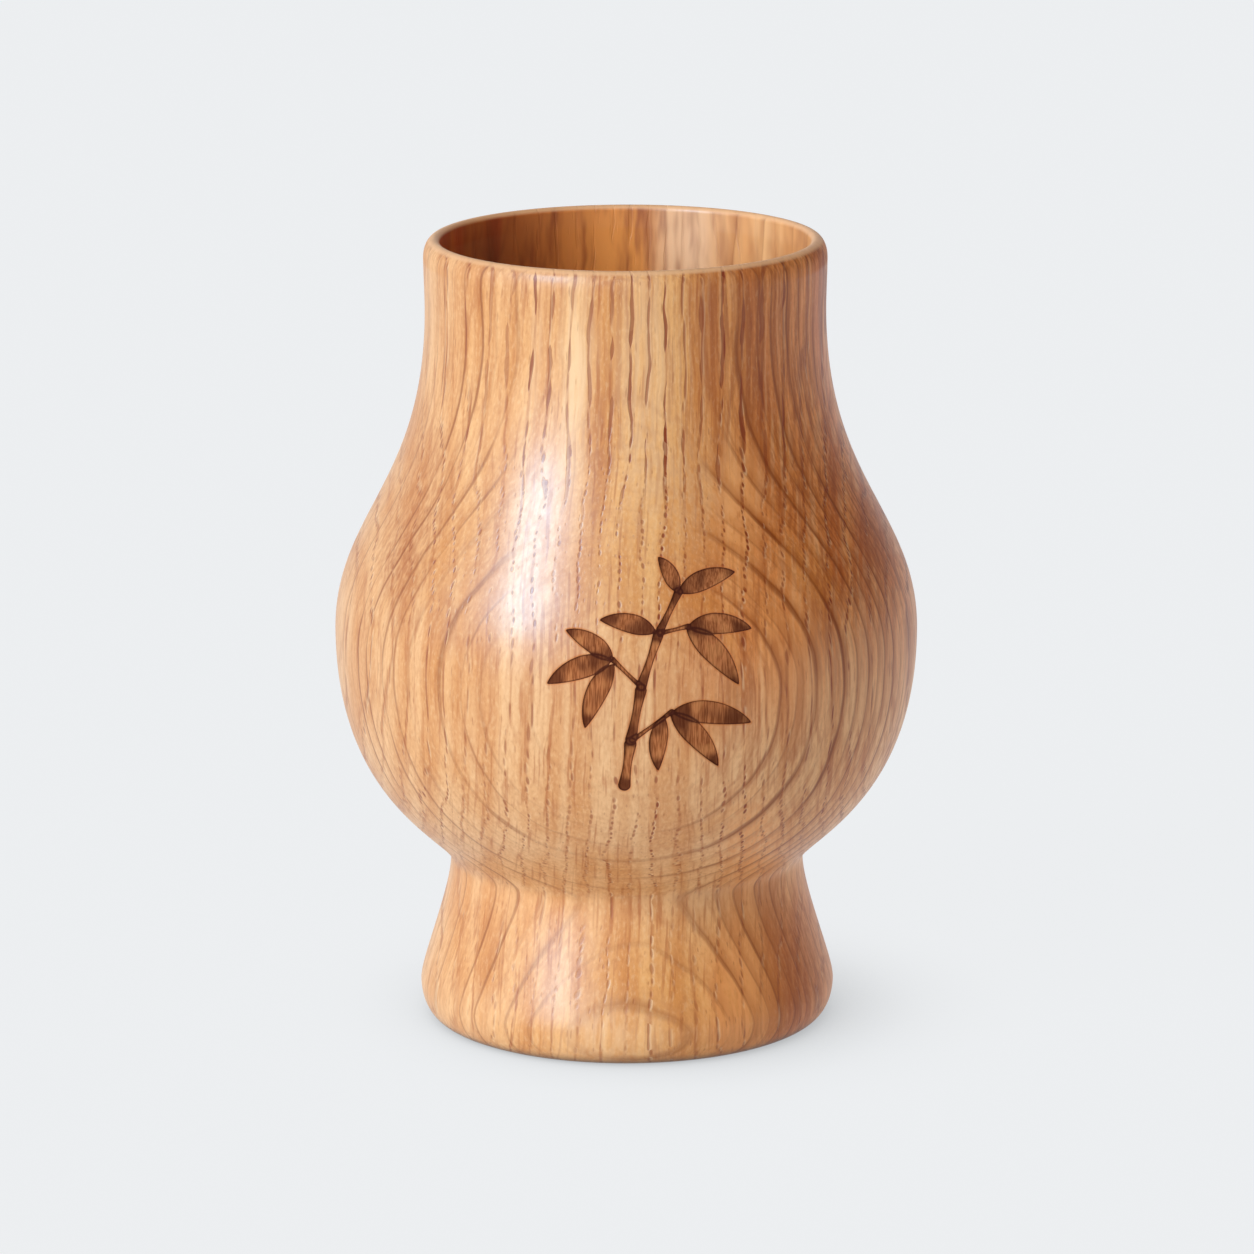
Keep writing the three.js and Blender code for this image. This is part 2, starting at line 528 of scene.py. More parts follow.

# Reddish smudges in the front of the blank, partly the wood's own and partly painted shade, as at the
# right of the neck where it turns from the window: middle across and up, half width, half height, strength
SMUDGES_AND_SHADE = (
    (-30.5, 68.0, 5.0, 12.0, 0.5), (-24.0, 63.0, 3.0, 7.0, 0.3), (25.5, 62.0, 3.0, 10.0, 0.75),
    (33.5, 70.0, 4.0, 10.0, 0.4), (-5.3, 84.0, 1.1, 22.0, 0.3), (19.0, 20.0, 3.5, 9.0, 0.3),
    (10.5, 98.0, 3.0, 16.0, 0.4), (-16.0, 15.0, 6.0, 9.0, 0.15), (-27.5, 79.0, 6.0, 12.0, 0.36),
    (23.0, 9.0, 8.0, 13.0, 0.36),
)

# Warm streaks, in the same terms, that soften the edge of the painted shade where the pale front turns
# darker at its right
SHADE_EDGE_STREAKS = (
    (15.5, 77.0, 6.0, 14.0, 0.75), (21.5, 60.0, 6.0, 16.0, 0.6), (17.0, 30.0, 7.0, 16.0, 0.7),
    (15.5, 8.0, 7.0, 16.0, 0.8),
)

# Light streaks, in the same terms: partly pale bands in the wood and partly painted light, a painted
# highlight down the left of the neck and painted light on the front and on the right of the belly
LIGHT_STREAKS_AND_PAINTED_LIGHT = (
    (-9.0, 96.0, 3.2, 24.0, 0.7), (-14.5, 98.0, 1.4, 16.0, 0.4), (1.0, 96.0, 6.5, 24.0, 0.5),
    (6.0, 80.0, 12.0, 13.0, 0.28), (-1.0, 4.0, 12.0, 9.0, 0.5), (31.0, 55.0, 12.0, 14.0, 0.28),
    (-17.0, 5.0, 7.0, 6.0, 0.4), (-8.0, 98.0, 4.0, 12.0, 0.45),
)

# Tones of the outside: the pale wood, the tan bands in it and the dark strands, each plain,
# amber towards the neck and the foot, and redder and darker towards the heart of the tree at the
# front's right, where this is also painted shade on the side away from the window
PALE_WOOD = linear("e6b582")
PALE_AMBER = linear("e6aa68")
PALE_HEART_AND_SHADE = linear("e08e4c")
TAN_WOOD = linear("d79c66")
TAN_AMBER = linear("d28c48")
TAN_HEART_AND_SHADE = linear("c87034")
DARK_WOOD = linear("ac6230")
DARK_HEART_AND_SHADE = linear("8e4216")
HONEY_PATCH = linear("cf8536")
LIGHT_STRAND = linear("f0c898")
LIGHT_SPECKLE = linear("f6d2a2")
RED_RAY = linear("a4521e")
SMUDGE_AND_SHADE = linear("9c4a1a")
SHADE_EDGE_WARMTH = linear("eea260")
LIGHT_STREAK_AND_HIGHLIGHT = linear("f4cc9c")

# Tones of the bowl: its left wall is painted dark as shade and its right wall pale as painted light,
# and a painted highlight lies right of its middle
BOWL_SHADED_LEFT = linear("b04c22")
BOWL_MIDDLE = linear("f2a050")
BOWL_LIT_RIGHT = linear("f2bc82")
BOWL_BAND = linear("dc8c40")
BOWL_HIGHLIGHT = linear("f8d8b4")
BOWL_MOTTLE = linear("934420")
BOWL_HIGHLIGHT_ACROSS = 7.5

# Tones of the year lines, of the pores and the pale tissue with its painted glint, of the lip's painted
# light and of the foot edge's painted shade
YEAR_SHADE = linear("9c4c0e")
YEAR_LINE = linear("803a0c")
FINE_PORE = linear("8a4016")
PORE = linear("86360f")
PORE_HALO_AND_GLINT = linear("f4d0a0")
LIP_LIGHT = linear("ecb888")
FOOT_CONTACT_SHADE = linear("5a2c12")

# Tones of the burnt carving
BURNT = linear("b87245")
BURNT_HATCH = linear("864a26")
BURNT_LIGHT = linear("c68450")
BURNT_DEEP = linear("4a1c0a")
BURNT_OUTLINE = linear("3e150a")
SINGED = linear("c06a38")

# Relief in millimetres: cuts are negative
PORE_RELIEF = -0.035
FINE_PORE_RELIEF = -0.012
YEAR_LINE_RELIEF = -0.008
FIBRE_RELIEF = 0.002

# Lacquer: its gloss, how much of that the burnt carving keeps, how much more matt the carving and the
# lip are, and how far under the crest the lip starts to be
WOOD_IOR = 1.4
COAT_IOR = 1.5
COAT_ROUGHNESS = 0.25
COAT_WEIGHT = 0.15
SPECULAR = 0.5
CARVED_SPECULAR = 0.12
CARVED_ROUGHNESS = 0.5
LIP_ROUGHNESS = 0.2
LIP_MATT_DEPTH = 3.4
FIBRE_ROUGHNESS = (0.38, 0.44)

# The lip's top is painted pale, as painted light from above, from one depth under its crest to another, and
# the foot is painted dark, as shade where it meets the floor, up to a height and outside the middle of its
# ring's edge
LIP_LIT_FROM = 0.65
LIP_LIT_TO = 0.2
FOOT_SHADE_HEIGHT = 1.6
FOOT_SHADE_FROM = REST_RADIUS - 0.3
FOOT_SHADE_TO = REST_RADIUS + 0.1


def wander(w, place, lengths, push, detail):
    """One size of the grain's waves, as a push across and in depth."""
    wave = w.noise(w.scaled(place, *[1 / length for length in lengths]), detail, "Color")
    return w.scaled(w.vector("SUBTRACT", wave, MIDDLE_GREY), push[0], push[1], 0.0)


def wood_fields(w):
    """Coordinates that follow the grain: across, depth and height, in millimetres."""
    place = w.add("ShaderNodeTexCoord", {}).outputs["Object"]
    place = w.scaled(place, PER_METRE, PER_METRE, PER_METRE)
    sway, ripple, waver = [wander(w, place, *wave) for wave in (SWAY, RIPPLE, WAVER)]
    bent = w.vector("ADD", w.vector("ADD", place, sway), w.vector("ADD", ripple, waver))
    right, back, height = w.split(bent)
    depth = w.math("ADD", back, BELLY_RADIUS)
    at_left = w.ramp(right, -12.0, 16.0, 1.0, 0.0)
    lean = w.product(w.math("SUBTRACT", height, BELLY_HEIGHT), ROW_LEAN, at_left)
    across = w.math("SUBTRACT", right, lean)
    return across, depth, height


def year_ramp(w, depth, values):
    """A broken line through one value for each year line."""
    node = w.add("ShaderNodeValToRGB", {0: w.math("DIVIDE", depth, WOOD_DEPTH)})
    stops = node.color_ramp.elements
    while len(stops) < len(YEAR_DEPTHS):
        stops.new(0.5)
    for stop, year_depth, value in zip(stops, YEAR_DEPTHS, values):
        stop.position = year_depth / WOOD_DEPTH
        stop.color = (value, value, value, 1.0)
    return node.outputs[0]


def year_lines(w, across, depth, height):
    """The dark edge of each year's growth and the soft shade behind it."""
    last = len(YEAR_DEPTHS) - 1
    years = range(last + 1)
    count = w.product(year_ramp(w, depth, [year / last for year in years]), float(last))
    spans = [YEAR_DEPTHS[min(year + 1, last)] - YEAR_DEPTHS[max(year - 1, 0)] for year in years]
    half_span = w.product(year_ramp(w, depth, [span / WIDEST_SPAN for span in spans]), WIDEST_SPAN / 2)
    signed = w.product(w.math("SUBTRACT", count, w.math("ROUND", count)), half_span)
    side = w.ramp(across, -6.0, 6.0)
    left = w.product(year_ramp(w, depth, YEAR_LEFT), w.math("SUBTRACT", 1.0, side))
    right = w.product(year_ramp(w, depth, YEAR_RIGHT), side)
    wear = w.noise(w.over((across, depth, height), (9.0, 2.0, 13.0)), 1.0)
    strength = w.product(w.math("ADD", left, right), w.ramp(wear, 0.3, 0.58, 0.45, 1.0))
    half_width = w.product(year_ramp(w, depth, YEAR_HALF_WIDTHS), w.ramp(wear, 0.3, 0.7, 0.7, 1.3))
    away = w.math("DIVIDE", w.math("ABSOLUTE", signed), half_width)
    core = w.product(w.ramp(away, 0.2, 1.3, 1.0, 0.0), strength)
    shade = w.product(w.ramp(signed, 0.0, 0.06), w.ramp(signed, 0.1, 1.1, 1.0, 0.0), strength)
    return core, shade


def dashes(w, row_place, row, row_kind, across, depth, height):
    """In the neck a whole row is cut along its length and shows as long broken dashes."""
    bend = w.math("SUBTRACT", w.noise(w.times((row, depth, height), (5.1, 0.1, 0.18)), 1.0), 0.5)
    from_row = w.product(w.math("SUBTRACT", row_place, row), ROW_SPACING)
    away = w.math("ABSOLUTE", w.math("SUBTRACT", from_row, bend))
    openness = w.noise(w.times((row, depth, height), (3.3, 0.12, 0.2)), 1.0)
    half_width = w.ramp(openness, 0.40, 0.60, 0.04, DASH_HALF_WIDTH)
    return w.product(
        w.ramp(w.math("SUBTRACT", away, half_width), -0.09, 0.05, 1.0, 0.0),
        w.ramp(openness, 0.41, 0.47),
        w.ramp(row_kind, 0.0, 0.4, 0.6, 1.0),
        w.ramp(height, 74.0, 86.0),
        w.ramp(w.math("ABSOLUTE", across), 20.0, 26.0, 1.0, 0.0),
    )


def vessels(w, across, depth, height):
    """Pores: thin tubes up the cup, in rows; each is open for a stretch, then closed."""
    drift = w.noise(w.times((across, depth, height), (0.16, 0.2, 0.04)), 1.0)
    row_place = w.math("ADD", w.math("DIVIDE", across, ROW_SPACING), w.product(drift, ROW_DRIFT))
    row = w.math("ROUND", row_place)
    row_kind = w.random(w.joined(row, 9.0, 5.0))
    step = w.math("ADD", w.math("DIVIDE", depth, VESSEL_SPACING), w.random(w.joined(row, 4.0, 2.0)))
    vessel = w.math("FLOOR", step)
    dice = w.split(w.random(w.joined(row, vessel, 1.0), "Color"))
    shift = w.product(w.math("SUBTRACT", dice[0], 0.5), VESSEL_SHIFT)
    from_middle = w.math("SUBTRACT", w.math("FRACT", step), w.math("ADD", shift, 0.5))
    from_middle = w.product(from_middle, VESSEL_SPACING)
    from_row = w.product(w.math("SUBTRACT", row_place, row), ROW_SPACING)
    aside = w.product(w.math("SUBTRACT", dice[1], 0.5), VESSEL_ASIDE)
    from_row = w.product(w.math("SUBTRACT", from_row, aside), ACROSS_SHARE)
    distance = w.math("ADD", w.product(from_row, from_row), w.product(from_middle, from_middle))
    size = w.ramp(dice[2], 0.0, 1.0, VESSEL_RADIUS * 0.65, VESSEL_RADIUS * 1.15)
    beyond = w.math("SUBTRACT", w.math("SQRT", distance), size)

    openness = w.noise(w.times((row, vessel, height), (7.3, 3.7, 0.22)), 0.0)
    openness = w.ramp(w.math("ADD", openness, w.ramp(height, 66.0, 84.0, 0.0, 0.05)), 0.39, 0.49)
    faint = w.ramp(row_kind, 0.1, 0.6, 0.45, 0.0)
    openness = w.product(openness, w.math("SUBTRACT", 1.0, faint))

    pore = w.product(w.ramp(beyond, -0.06, 0.06, 1.0, 0.0), openness)
    pore = w.math("MAXIMUM", pore, dashes(w, row_place, row, row_kind, across, depth, height))
    # Pale tissue round a pore, on its right side only: partly the wood's own and partly a painted glint on
    # the pit's lit edge
    halo = w.product(w.ramp(beyond, 0.02, HALO, 1.0, 0.0), w.ramp(dice[0], 0.2, 0.8))
    halo = w.product(halo, w.product(openness, w.ramp(from_row, -0.05, 0.05)))
    row_line = w.ramp(w.math("ABSOLUTE", from_row), 0.06, 0.26, 1.0, 0.0)
    return pore, halo, dice[1], row_line


def fine_pores(w, across, depth, height):
    cell = w.over((across, depth, height), FINE_PORE_CELL)
    distance = w.add("ShaderNodeTexVoronoi", {"Vector": cell, "Scale": 1.0}).outputs["Distance"]
    return w.ramp(distance, 0.08, 0.17, 1.0, 0.0)


def grain_fields(w):
    """All that the wood's colour and relief are made from, by name."""
    across, depth, height = wood_fields(w)
    wood = SimpleNamespace(across=across, depth=depth, height=height)
    wood.core, wood.shade = year_lines(w, across, depth, height)
    wood.pore, wood.halo, wood.pore_kind, wood.row_line = vessels(w, across, depth, height)
    wood.small = fine_pores(w, across, depth, height)
    for name, (*lengths, detail) in GRAINS.items():
        setattr(wood, name, w.noise(w.over((across, depth, height), lengths), detail))

    wood.bowl = w.attribute("bowl")
    wood.outer = w.math("SUBTRACT", 1.0, wood.bowl)
    wood.inside = w.attribute("carving")
    wood.outline = w.attribute("carving_outline")
    wood.ends = w.attribute("carving_ends")
    return wood


def tone_fields(w, wood):
    """Where the wood leans to its heart, which is painted shade as well, and to amber, where it is bold,
    and where its rings show.
    """
    # The heart's redder, darker tone is also painted shade: it is strongest at the front's right, away from
    # the window
    heart = w.math("SUBTRACT", wood.across, w.product(wood.depth, 0.2))
    heart = w.ramp(w.math("ADD", heart, w.product(wood.patches, 8.0)), 5.0, 22.0)
    above = w.ramp(wood.height, 42.0, 64.0, 0.15, 1.0)
    below = w.ramp(wood.height, 14.0, 25.0, 0.75, 0.15)
    wood.heart = w.product(heart, w.math("MAXIMUM", above, below))

    from_lower_belly = w.math("ABSOLUTE", w.math("SUBTRACT", wood.height, 42.0))
    wood.amber = w.product(w.ramp(from_lower_belly, 12.0, 34.0), w.ramp(wood.across, -24.0, 4.0, 0.25, 1.0))

    bold_neck = w.product(w.ramp(wood.height, 76.0, 90.0), w.ramp(wood.across, -18.0, -4.0, 0.25, 1.0))
    bold = w.math("MAXIMUM", w.ramp(wood.across, 5.0, 20.0, 0.0, 0.9), bold_neck)
    wood.bold = w.product(bold, w.ramp(wood.height, 26.0, 44.0, 0.4, 1.0))

    wood.off_middle = w.math("ABSOLUTE", w.math("SUBTRACT", wood.across, 1.0))
    face_on = w.ramp(wood.off_middle, 4.0, 17.0, 0.35, 1.0)
    face_on = w.math("MAXIMUM", face_on, w.ramp(wood.height, 14.0, 22.0, 0.6, 0.0))
    off_crown = w.math("ABSOLUTE", w.math("ADD", wood.across, 3.0))
    crown = w.product(w.ramp(wood.height, 60.0, 72.0), w.ramp(off_crown, 10.0, 17.0, 1.0, 0.0))
    off_foot = w.ramp(wood.height, 4.0, 16.0, 0.75, 1.0)
    wood.figure = w.product(face_on, w.math("SUBTRACT", 1.0, crown), off_foot)


def smudge(w, wood, middle, level, half_width, half_height, strength):
    """How strongly one smudge or streak shows; some are the wood's own marks, some painted shade and some
    painted light; it stays in the front half of the blank.
    """
    x = w.math("DIVIDE", w.math("SUBTRACT", wood.across, middle), half_width)
    z = w.math("DIVIDE", w.math("SUBTRACT", wood.height, level), half_height)
    away = w.math("SQRT", w.math("ADD", w.product(x, x), w.product(z, z)))
    return w.product(
        w.ramp(away, 0.1, 1.0, strength, 0.0),
        w.ramp(wood.depth, 32.0, 40.0, 1.0, 0.0),
        w.ramp(wood.fibres, 0.3, 0.62, 0.45, 1.0),
    )


def outer_wood(w, wood):
    """The outside's colour without its year lines and pores, with painted shade at its right and painted
    light and shade in some smudges and streaks.
    """
    def by_boldness(plain, bold):
        return w.ramp(wood.bold, 0.0, 1.0, plain, bold)

    pale = w.mix(wood.heart, w.mix(wood.amber, PALE_WOOD, PALE_AMBER), PALE_HEART_AND_SHADE)
    tan = w.mix(wood.heart, w.mix(wood.amber, TAN_WOOD, TAN_AMBER), TAN_HEART_AND_SHADE)
    colour = w.mix(w.ramp(wood.bands, 0.34, 0.66), pale, tan)
    colour = w.layer(colour, HONEY_PATCH, w.ramp(wood.patches, 0.5, 0.74), 0.35)
    colour = w.layer(colour, wood.dark, w.ramp(wood.strands, 0.5, 0.7), by_boldness(0.06, 0.45))
    colour = w.layer(colour, LIGHT_STRAND, w.ramp(wood.strands, 0.5, 0.3), by_boldness(0.0, 0.25))
    colour = w.layer(colour, wood.dark, w.ramp(wood.fibres, 0.42, 0.68), by_boldness(0.16, 0.35))
    colour = w.layer(colour, wood.dark, w.ramp(wood.growth, 0.5, 0.72), by_boldness(0.15, 0.35))
    speckle = w.ramp(wood.across, 0.0, 16.0, 0.2, 0.1)
    colour = w.layer(colour, LIGHT_SPECKLE, w.ramp(wood.tissue, 0.52, 0.7), speckle)
    colour = w.layer(colour, wood.dark, w.ramp(wood.tissue, 0.48, 0.3), 0.2)
    red = w.math("MAXIMUM", by_boldness(0.3, 0.5), w.ramp(wood.off_middle, 12.0, 24.0, 0.45, 0.3))
    colour = w.layer(colour, RED_RAY, w.ramp(wood.rays, 0.55, 0.72), red)
    # Smudges and streaks: some are the wood's own, some are painted shade, and some are painted light and
    # highlight
    for tint, places in ((SMUDGE_AND_SHADE, SMUDGES_AND_SHADE), (SHADE_EDGE_WARMTH, SHADE_EDGE_STREAKS), (LIGHT_STREAK_AND_HIGHLIGHT, LIGHT_STREAKS_AND_PAINTED_LIGHT)):
        for place in places:
            colour = w.layer(colour, tint, smudge(w, wood, *place))
    return colour


def bowl_wood(w, wood):
    """The bowl's colour without its year lines and pores: painted shade at its left, painted light at its
    right, and a painted highlight.
    """
    off_highlight = w.math("ABSOLUTE", w.math("SUBTRACT", wood.across, BOWL_HIGHLIGHT_ACROSS))
    # Dark at the left and pale at the right: painted shade and painted light on the bowl's walls
    colour = w.mix(w.ramp(wood.across, -24.0, 0.0), BOWL_SHADED_LEFT, BOWL_MIDDLE)
    colour = w.layer(colour, BOWL_LIT_RIGHT, w.ramp(wood.across, -1.0, 12.0))
    colour = w.layer(colour, BOWL_BAND, w.ramp(wood.bands, 0.4, 0.6), 0.4)
    # A pale patch right of the middle: a painted highlight on the bowl's far wall
    colour = w.layer(colour, BOWL_HIGHLIGHT, w.ramp(off_highlight, 2.0, 7.0, 0.45, 0.0))
    mottle = w.ramp(wood.across, 0.0, 18.0, 0.75, 0.4)
    return w.layer(colour, BOWL_MOTTLE, w.ramp(wood.mottle, 0.42, 0.74), mottle)


def with_lines_and_pores(w, wood, colour):
    """The year lines, the pores and the rows that they stand in, fainter in the bowl."""
    def in_bowl(outside, inside):
        return w.ramp(wood.bowl, 0.0, 1.0, outside, inside)

    colour = w.layer(colour, YEAR_SHADE, wood.shade, wood.figure, w.ramp(wood.across, 0.0, 16.0, 0.35, 0.7))
    colour = w.layer(colour, YEAR_LINE, wood.core, wood.figure, in_bowl(0.88, 0.4))
    colour = w.layer(colour, FINE_PORE, wood.small, in_bowl(0.3, 0.0))
    colour = w.layer(colour, wood.dark, wood.row_line, wood.outer, w.ramp(wood.rays, 0.35, 0.6, 0.1, 0.4))
    # Pale tissue round the pores, with a painted glint on their right side
    colour = w.layer(colour, PORE_HALO_AND_GLINT, wood.halo, wood.outer, w.ramp(wood.across, 4.0, 22.0, 0.55, 0.35))
    pore_share = w.product(
        w.ramp(wood.pore_kind, 0.0, 1.0, 0.65, 1.0),
        w.ramp(wood.across, -24.0, -8.0, 0.65, 1.0),
        w.ramp(wood.height, 18.0, 34.0, 0.5, 1.0),
        in_bowl(1.0, 0.15),
    )
    return w.layer(colour, PORE, wood.pore, pore_share)


def with_edges(w, wood, colour):
    """The lip's crest, painted pale as light from above, and the foot's lowest edge, painted dark as shade
    where it meets the floor.
    """
    # The lip's top painted pale: painted light from above
    lit_crest = w.ramp(wood.height, CUP_HEIGHT - LIP_LIT_FROM, CUP_HEIGHT - LIP_LIT_TO)
    colour = w.layer(colour, LIP_LIGHT, lit_crest, 0.8)
    place = w.add("ShaderNodeTexCoord", {}).outputs["Object"]
    place = w.scaled(place, PER_METRE, PER_METRE, 0.0)
    radius = w.add("ShaderNodeVectorMath", {0: place}, operation="LENGTH").outputs["Value"]
    # Painted shade along the foot's lowest edge, where it meets the floor
    low = w.ramp(wood.height, 0.0, FOOT_SHADE_HEIGHT, 0.6, 0.0)
    return w.layer(colour, FOOT_CONTACT_SHADE, low, w.ramp(radius, FOOT_SHADE_FROM, FOOT_SHADE_TO))


def with_carving(w, wood, colour):
    """The burnt sprig: hatched across, scorched at the ends of its strokes, with a singed rim."""
    scorch = w.ramp(w.math("ADD", wood.ends, w.product(wood.pool, 1.8)), 0.75, 1.5)
    burnt = w.mix(w.ramp(wood.hatch, 0.35, 0.65), BURNT, BURNT_HATCH)
    burnt = w.layer(burnt, BURNT_LIGHT, w.ramp(wood.pool, 0.42, 0.3), 0.4)
    burnt = w.layer(burnt, BURNT_DEEP, scorch, 0.8)
    burnt = w.layer(burnt, BURNT_OUTLINE, w.ramp(wood.outline, 0.05, 0.24, 0.85, 0.0))
    colour = w.layer(colour, SINGED, w.ramp(wood.inside, -0.34, 0.0, 0.0, 0.45))
    return w.mix(w.ramp(wood.inside, -0.02, 0.05), colour, burnt)


def wood_relief(w, wood):
    relief = w.product(wood.pore, PORE_RELIEF)
    relief = w.math("ADD", relief, w.product(wood.small, FINE_PORE_RELIEF))
    relief = w.math("ADD", relief, w.product(wood.core, YEAR_LINE_RELIEF))
    relief = w.math("ADD", relief, w.product(wood.fibres, FIBRE_RELIEF))
    return w.add("ShaderNodeBump", {"Strength": 1.0, "Distance": MM, "Height": relief}).outputs[0]


def lacquered_wood():
    """Open-grained oak under a satin clear lacquer, with the sprig burnt into it."""
    material = bpy.data.materials.new("lacquered_oak")
    w = Wiring(material)
    wood = grain_fields(w)
    tone_fields(w, wood)
    wood.dark = w.mix(wood.heart, DARK_WOOD, DARK_HEART_AND_SHADE)
    colour = w.mix(wood.bowl, outer_wood(w, wood), bowl_wood(w, wood))
    colour = with_lines_and_pores(w, wood, colour)
    colour = with_edges(w, wood, colour)
    colour = with_carving(w, wood, colour)

    def in_carving(outside, inside):
        return w.ramp(wood.inside, -CARVE_WALL, 0.0, outside, inside)

    roughness = w.ramp(wood.fibres, 0.3, 0.7, *FIBRE_ROUGHNESS)
    roughness = w.math("ADD", roughness, in_carving(0.0, CARVED_ROUGHNESS))
    near_lip = w.ramp(wood.height, CUP_HEIGHT - LIP_MATT_DEPTH, LIP_BASE, 0.0, LIP_ROUGHNESS)
    shader = w.add("ShaderNodeBsdfPrincipled", {
        "Base Color": colour,
        "Roughness": w.math("ADD", roughness, near_lip),
        "Normal": wood_relief(w, wood),
        "IOR": WOOD_IOR, "Coat Roughness": COAT_ROUGHNESS, "Coat IOR": COAT_IOR,
        "Specular IOR Level": in_carving(SPECULAR, CARVED_SPECULAR),
        "Coat Weight": in_carving(COAT_WEIGHT, 0.0),
    })
    w.add("ShaderNodeOutputMaterial", {"Surface": shader.outputs[0]})
    return material


def make_cup():
    cup = bpy.data.objects.new("lacquered_cup", cup_mesh())
    bpy.context.scene.collection.objects.link(cup)
    cup.data.materials.append(lacquered_wood())
    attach(cup, "root")
    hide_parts("turned_cup")


# The floor is nearly as bright as the pale room behind it. It dims softly round the foot, and closer
# in it also sends less light back up to the cup.
PALE = linear("edeff1")
FLOOR_HALF = 6.0
LIT_SHARE = 0.015
BOUNCE_SHARE = 0.5
SHADE_REACH = 0.028
SHADE_LEAN = (-0.3, -0.2, 0.93)
SHADE_SHARE = 0.44
CONTACT_REACH = 0.007
CONTACT_START = 0.2
CONTACT_SHARE = 0.9
SHADE_SAMPLES = 16


def seen(w):
    """1 for what the camera sees, straight or in a reflection or through glass, and 0 for other light."""
    path = w.add("ShaderNodeLightPath", {}).outputs
    share = w.math("MAXIMUM", path["Is Camera Ray"], path["Is Glossy Ray"])
    return w.math("MAXIMUM", share, path["Is Transmission Ray"])


def floor_shade(w):
    """How bright the floor is, from 0 to 1."""
    soft = {"Distance": SHADE_REACH, "Normal": w.joined(*SHADE_LEAN)}
    soft = w.add("ShaderNodeAmbientOcclusion", soft, samples=SHADE_SAMPLES).outputs["AO"]
    soft = w.ramp(soft, 0.0, 1.0, 1.0 - SHADE_SHARE, 1.0)
    contact = {"Distance": CONTACT_REACH}
    contact = w.add("ShaderNodeAmbientOcclusion", contact, samples=SHADE_SAMPLES).outputs["AO"]
    contact = w.ramp(contact, CONTACT_START, 1.0, 1.0 - CONTACT_SHARE, 1.0)
    return w.product(soft, w.math("MAXIMUM", contact, seen(w)))


def make_floor():
    mesh = bpy.data.meshes.new("floor")
    corners = [(-FLOOR_HALF, -FLOOR_HALF, 0), (FLOOR_HALF, -FLOOR_HALF, 0),
               (FLOOR_HALF, FLOOR_HALF, 0), (-FLOOR_HALF, FLOOR_HALF, 0)]
    mesh.from_pydata(corners, [], [(0, 1, 2, 3)])
    floor = bpy.data.objects.new("floor", mesh)
    bpy.context.scene.collection.objects.link(floor)
    material = bpy.data.materials.new("pale_floor")
    w = Wiring(material)
    pale = w.mix(1.0, PALE, floor_shade(w), blend="MULTIPLY")
    glow = w.add("ShaderNodeEmission", {"Color": pale}).outputs[0]
    matt = w.add("ShaderNodeBsdfDiffuse", {"Color": PALE}).outputs[0]
    share = w.math("MAXIMUM", w.product(seen(w), 1.0 - LIT_SHARE), BOUNCE_SHARE)
    both = w.add("ShaderNodeMixShader", {0: share, 1: matt, 2: glow}).outputs[0]
    w.add("ShaderNodeOutputMaterial", {"Surface": both})
    material.cycles.emission_sampling = "NONE"
    mesh.materials.append(material)


# Light: a tall window at the left of the front, brighter in its upper part, a cool sheen of it that
# only the lacquer shows, and a warm wall at the back right that only the wood takes up
LAMP_DISTANCE = 9.0
WINDOW_COLOUR = (0.90, 0.95, 1.0)
SHEEN_COLOUR = (0.18, 0.62, 1.0)
WALL_COLOUR = (1.0, 0.82, 0.62)

# Each lamp: degrees to the right of the front, degrees up and of roll, width and height as shares of
# its distance, radiance and colour
LAMPS = {
    "upper_window": (-45.0, 38.0, 0.0, 0.42, 0.42, 10.4, WINDOW_COLOUR),
    "lower_window": (-38.0, 14.0, 0.0, 0.34, 0.40, 5.3, WINDOW_COLOUR),
    "window_sheen": (-46.5, 30.5, 14.0, 0.28, 0.46, 30.0, SHEEN_COLOUR),
    "room_fill": (118.0, 5.0, 0.0, 0.60, 0.30, 5.1, WALL_COLOUR),
}
LACQUER_ONLY = "window_sheen"
WOOD_ONLY = "room_fill"

# Watts for each square metre of a lamp and each unit of its radiance
WATTS_PER_RADIANCE = 4

# The rest of the room: pale near the floor, darker overhead and at the right
OVERHEAD = 0.12
OVERHEAD_COLOUR = (1.0, 0.90, 0.80)
RIGHT_SHARE = 0.3


def from_front(turn, climb):
    """The direction some degrees to the right of the front, -Y, and some degrees up."""
    turn, climb = math.radians(turn), math.radians(climb)
    return Vector((math.sin(turn) * math.cos(climb), -math.cos(turn) * math.cos(climb), math.sin(climb)))


def aimed(obj, place, target, roll):
    """Puts an object at a place, pointing at a target and rolled by some degrees."""
    turned = (target - place).to_track_quat("-Z", "Y").to_matrix().to_4x4()
    obj.matrix_world = Matrix.Translation(place) @ turned @ Matrix.Rotation(math.radians(roll), 4, "Z")


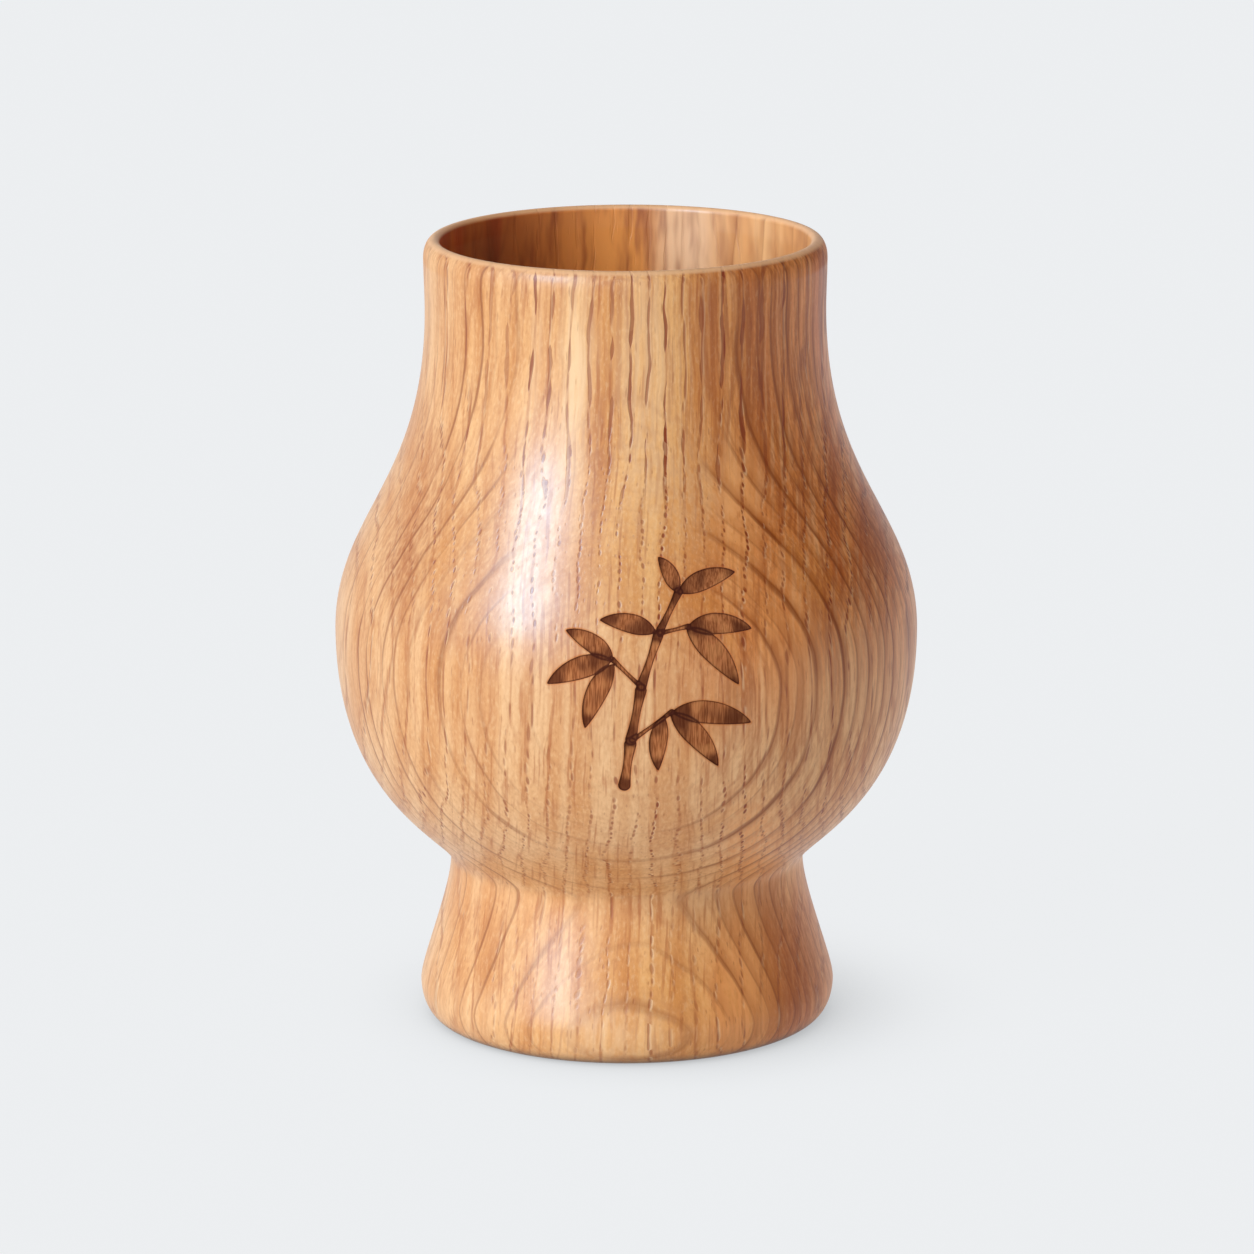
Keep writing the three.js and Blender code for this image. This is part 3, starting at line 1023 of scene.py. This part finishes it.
def make_lights():
    middle = Vector((0, 0, CUP_HEIGHT * MM / 2))
    for name, (turn, climb, roll, width, height, radiance, colour) in LAMPS.items():
        light = bpy.data.lights.new(name, "AREA")
        light.shape = "RECTANGLE"
        light.size = width * LAMP_DISTANCE
        light.size_y = height * LAMP_DISTANCE
        light.energy = radiance * WATTS_PER_RADIANCE * light.size * light.size_y
        light.color = colour
        lamp = bpy.data.objects.new(name, light)
        bpy.context.scene.collection.objects.link(lamp)
        lamp.visible_diffuse = name != LACQUER_ONLY
        lamp.visible_glossy = name != WOOD_ONLY
        aimed(lamp, middle + from_front(turn, climb) * LAMP_DISTANCE, middle, roll)


def make_room():
    world = bpy.data.worlds.new("room")
    w = Wiring(world)
    direction = w.add("ShaderNodeTexCoord", {}).outputs["Generated"]
    right, back, climb = w.split(direction)

    # The pale part reaches higher at the back and at the left
    back_lift = w.product(w.ramp(back, 0.1, 0.8, 0.0, 0.35), w.ramp(right, 0.3, 0.7, 1.0, 0.2))
    left_lift = w.ramp(right, -0.1, -0.8, 0.0, 0.18)
    climb = w.math("SUBTRACT", w.math("SUBTRACT", climb, back_lift), left_lift)
    overhead = tuple(c * OVERHEAD for c in OVERHEAD_COLOUR) + (1.0,)
    colour = w.mix(w.ramp(climb, 0.03, 0.32), PALE, overhead)
    strength = w.ramp(right, 0.22, 0.75, 1.0, RIGHT_SHARE)
    background = w.add("ShaderNodeBackground", {"Color": colour, "Strength": strength}).outputs[0]
    w.add("ShaderNodeOutputWorld", {"Surface": background})
    world.cycles.sampling_method = "NONE"
    bpy.context.scene.world = world


# Camera, as fitted to the photograph's outline: degrees up and of roll, metres, and millimetres of lens
CAMERA_CLIMB = 13.553
CAMERA_ROLL = -0.1425
CAMERA_DISTANCE = 0.86205
CAMERA_TARGET = (0.000101, 0.0, 0.054568)
CAMERA_CLIP_END = 50.0
CAMERA_LENS = 179.75
CAMERA_SENSOR = 36.0


def make_camera():
    data = bpy.data.cameras.new("camera")
    data.lens = CAMERA_LENS
    data.sensor_width = CAMERA_SENSOR
    data.clip_end = CAMERA_CLIP_END
    camera = bpy.data.objects.new("camera", data)
    bpy.context.scene.collection.objects.link(camera)
    target = Vector(CAMERA_TARGET)
    aimed(camera, target + from_front(0.0, CAMERA_CLIMB) * CAMERA_DISTANCE, target, CAMERA_ROLL)
    bpy.context.scene.camera = camera


make_camera()
make_cup()
make_floor()
make_lights()
make_room()
bpy.context.scene.view_settings.view_transform = "Standard"
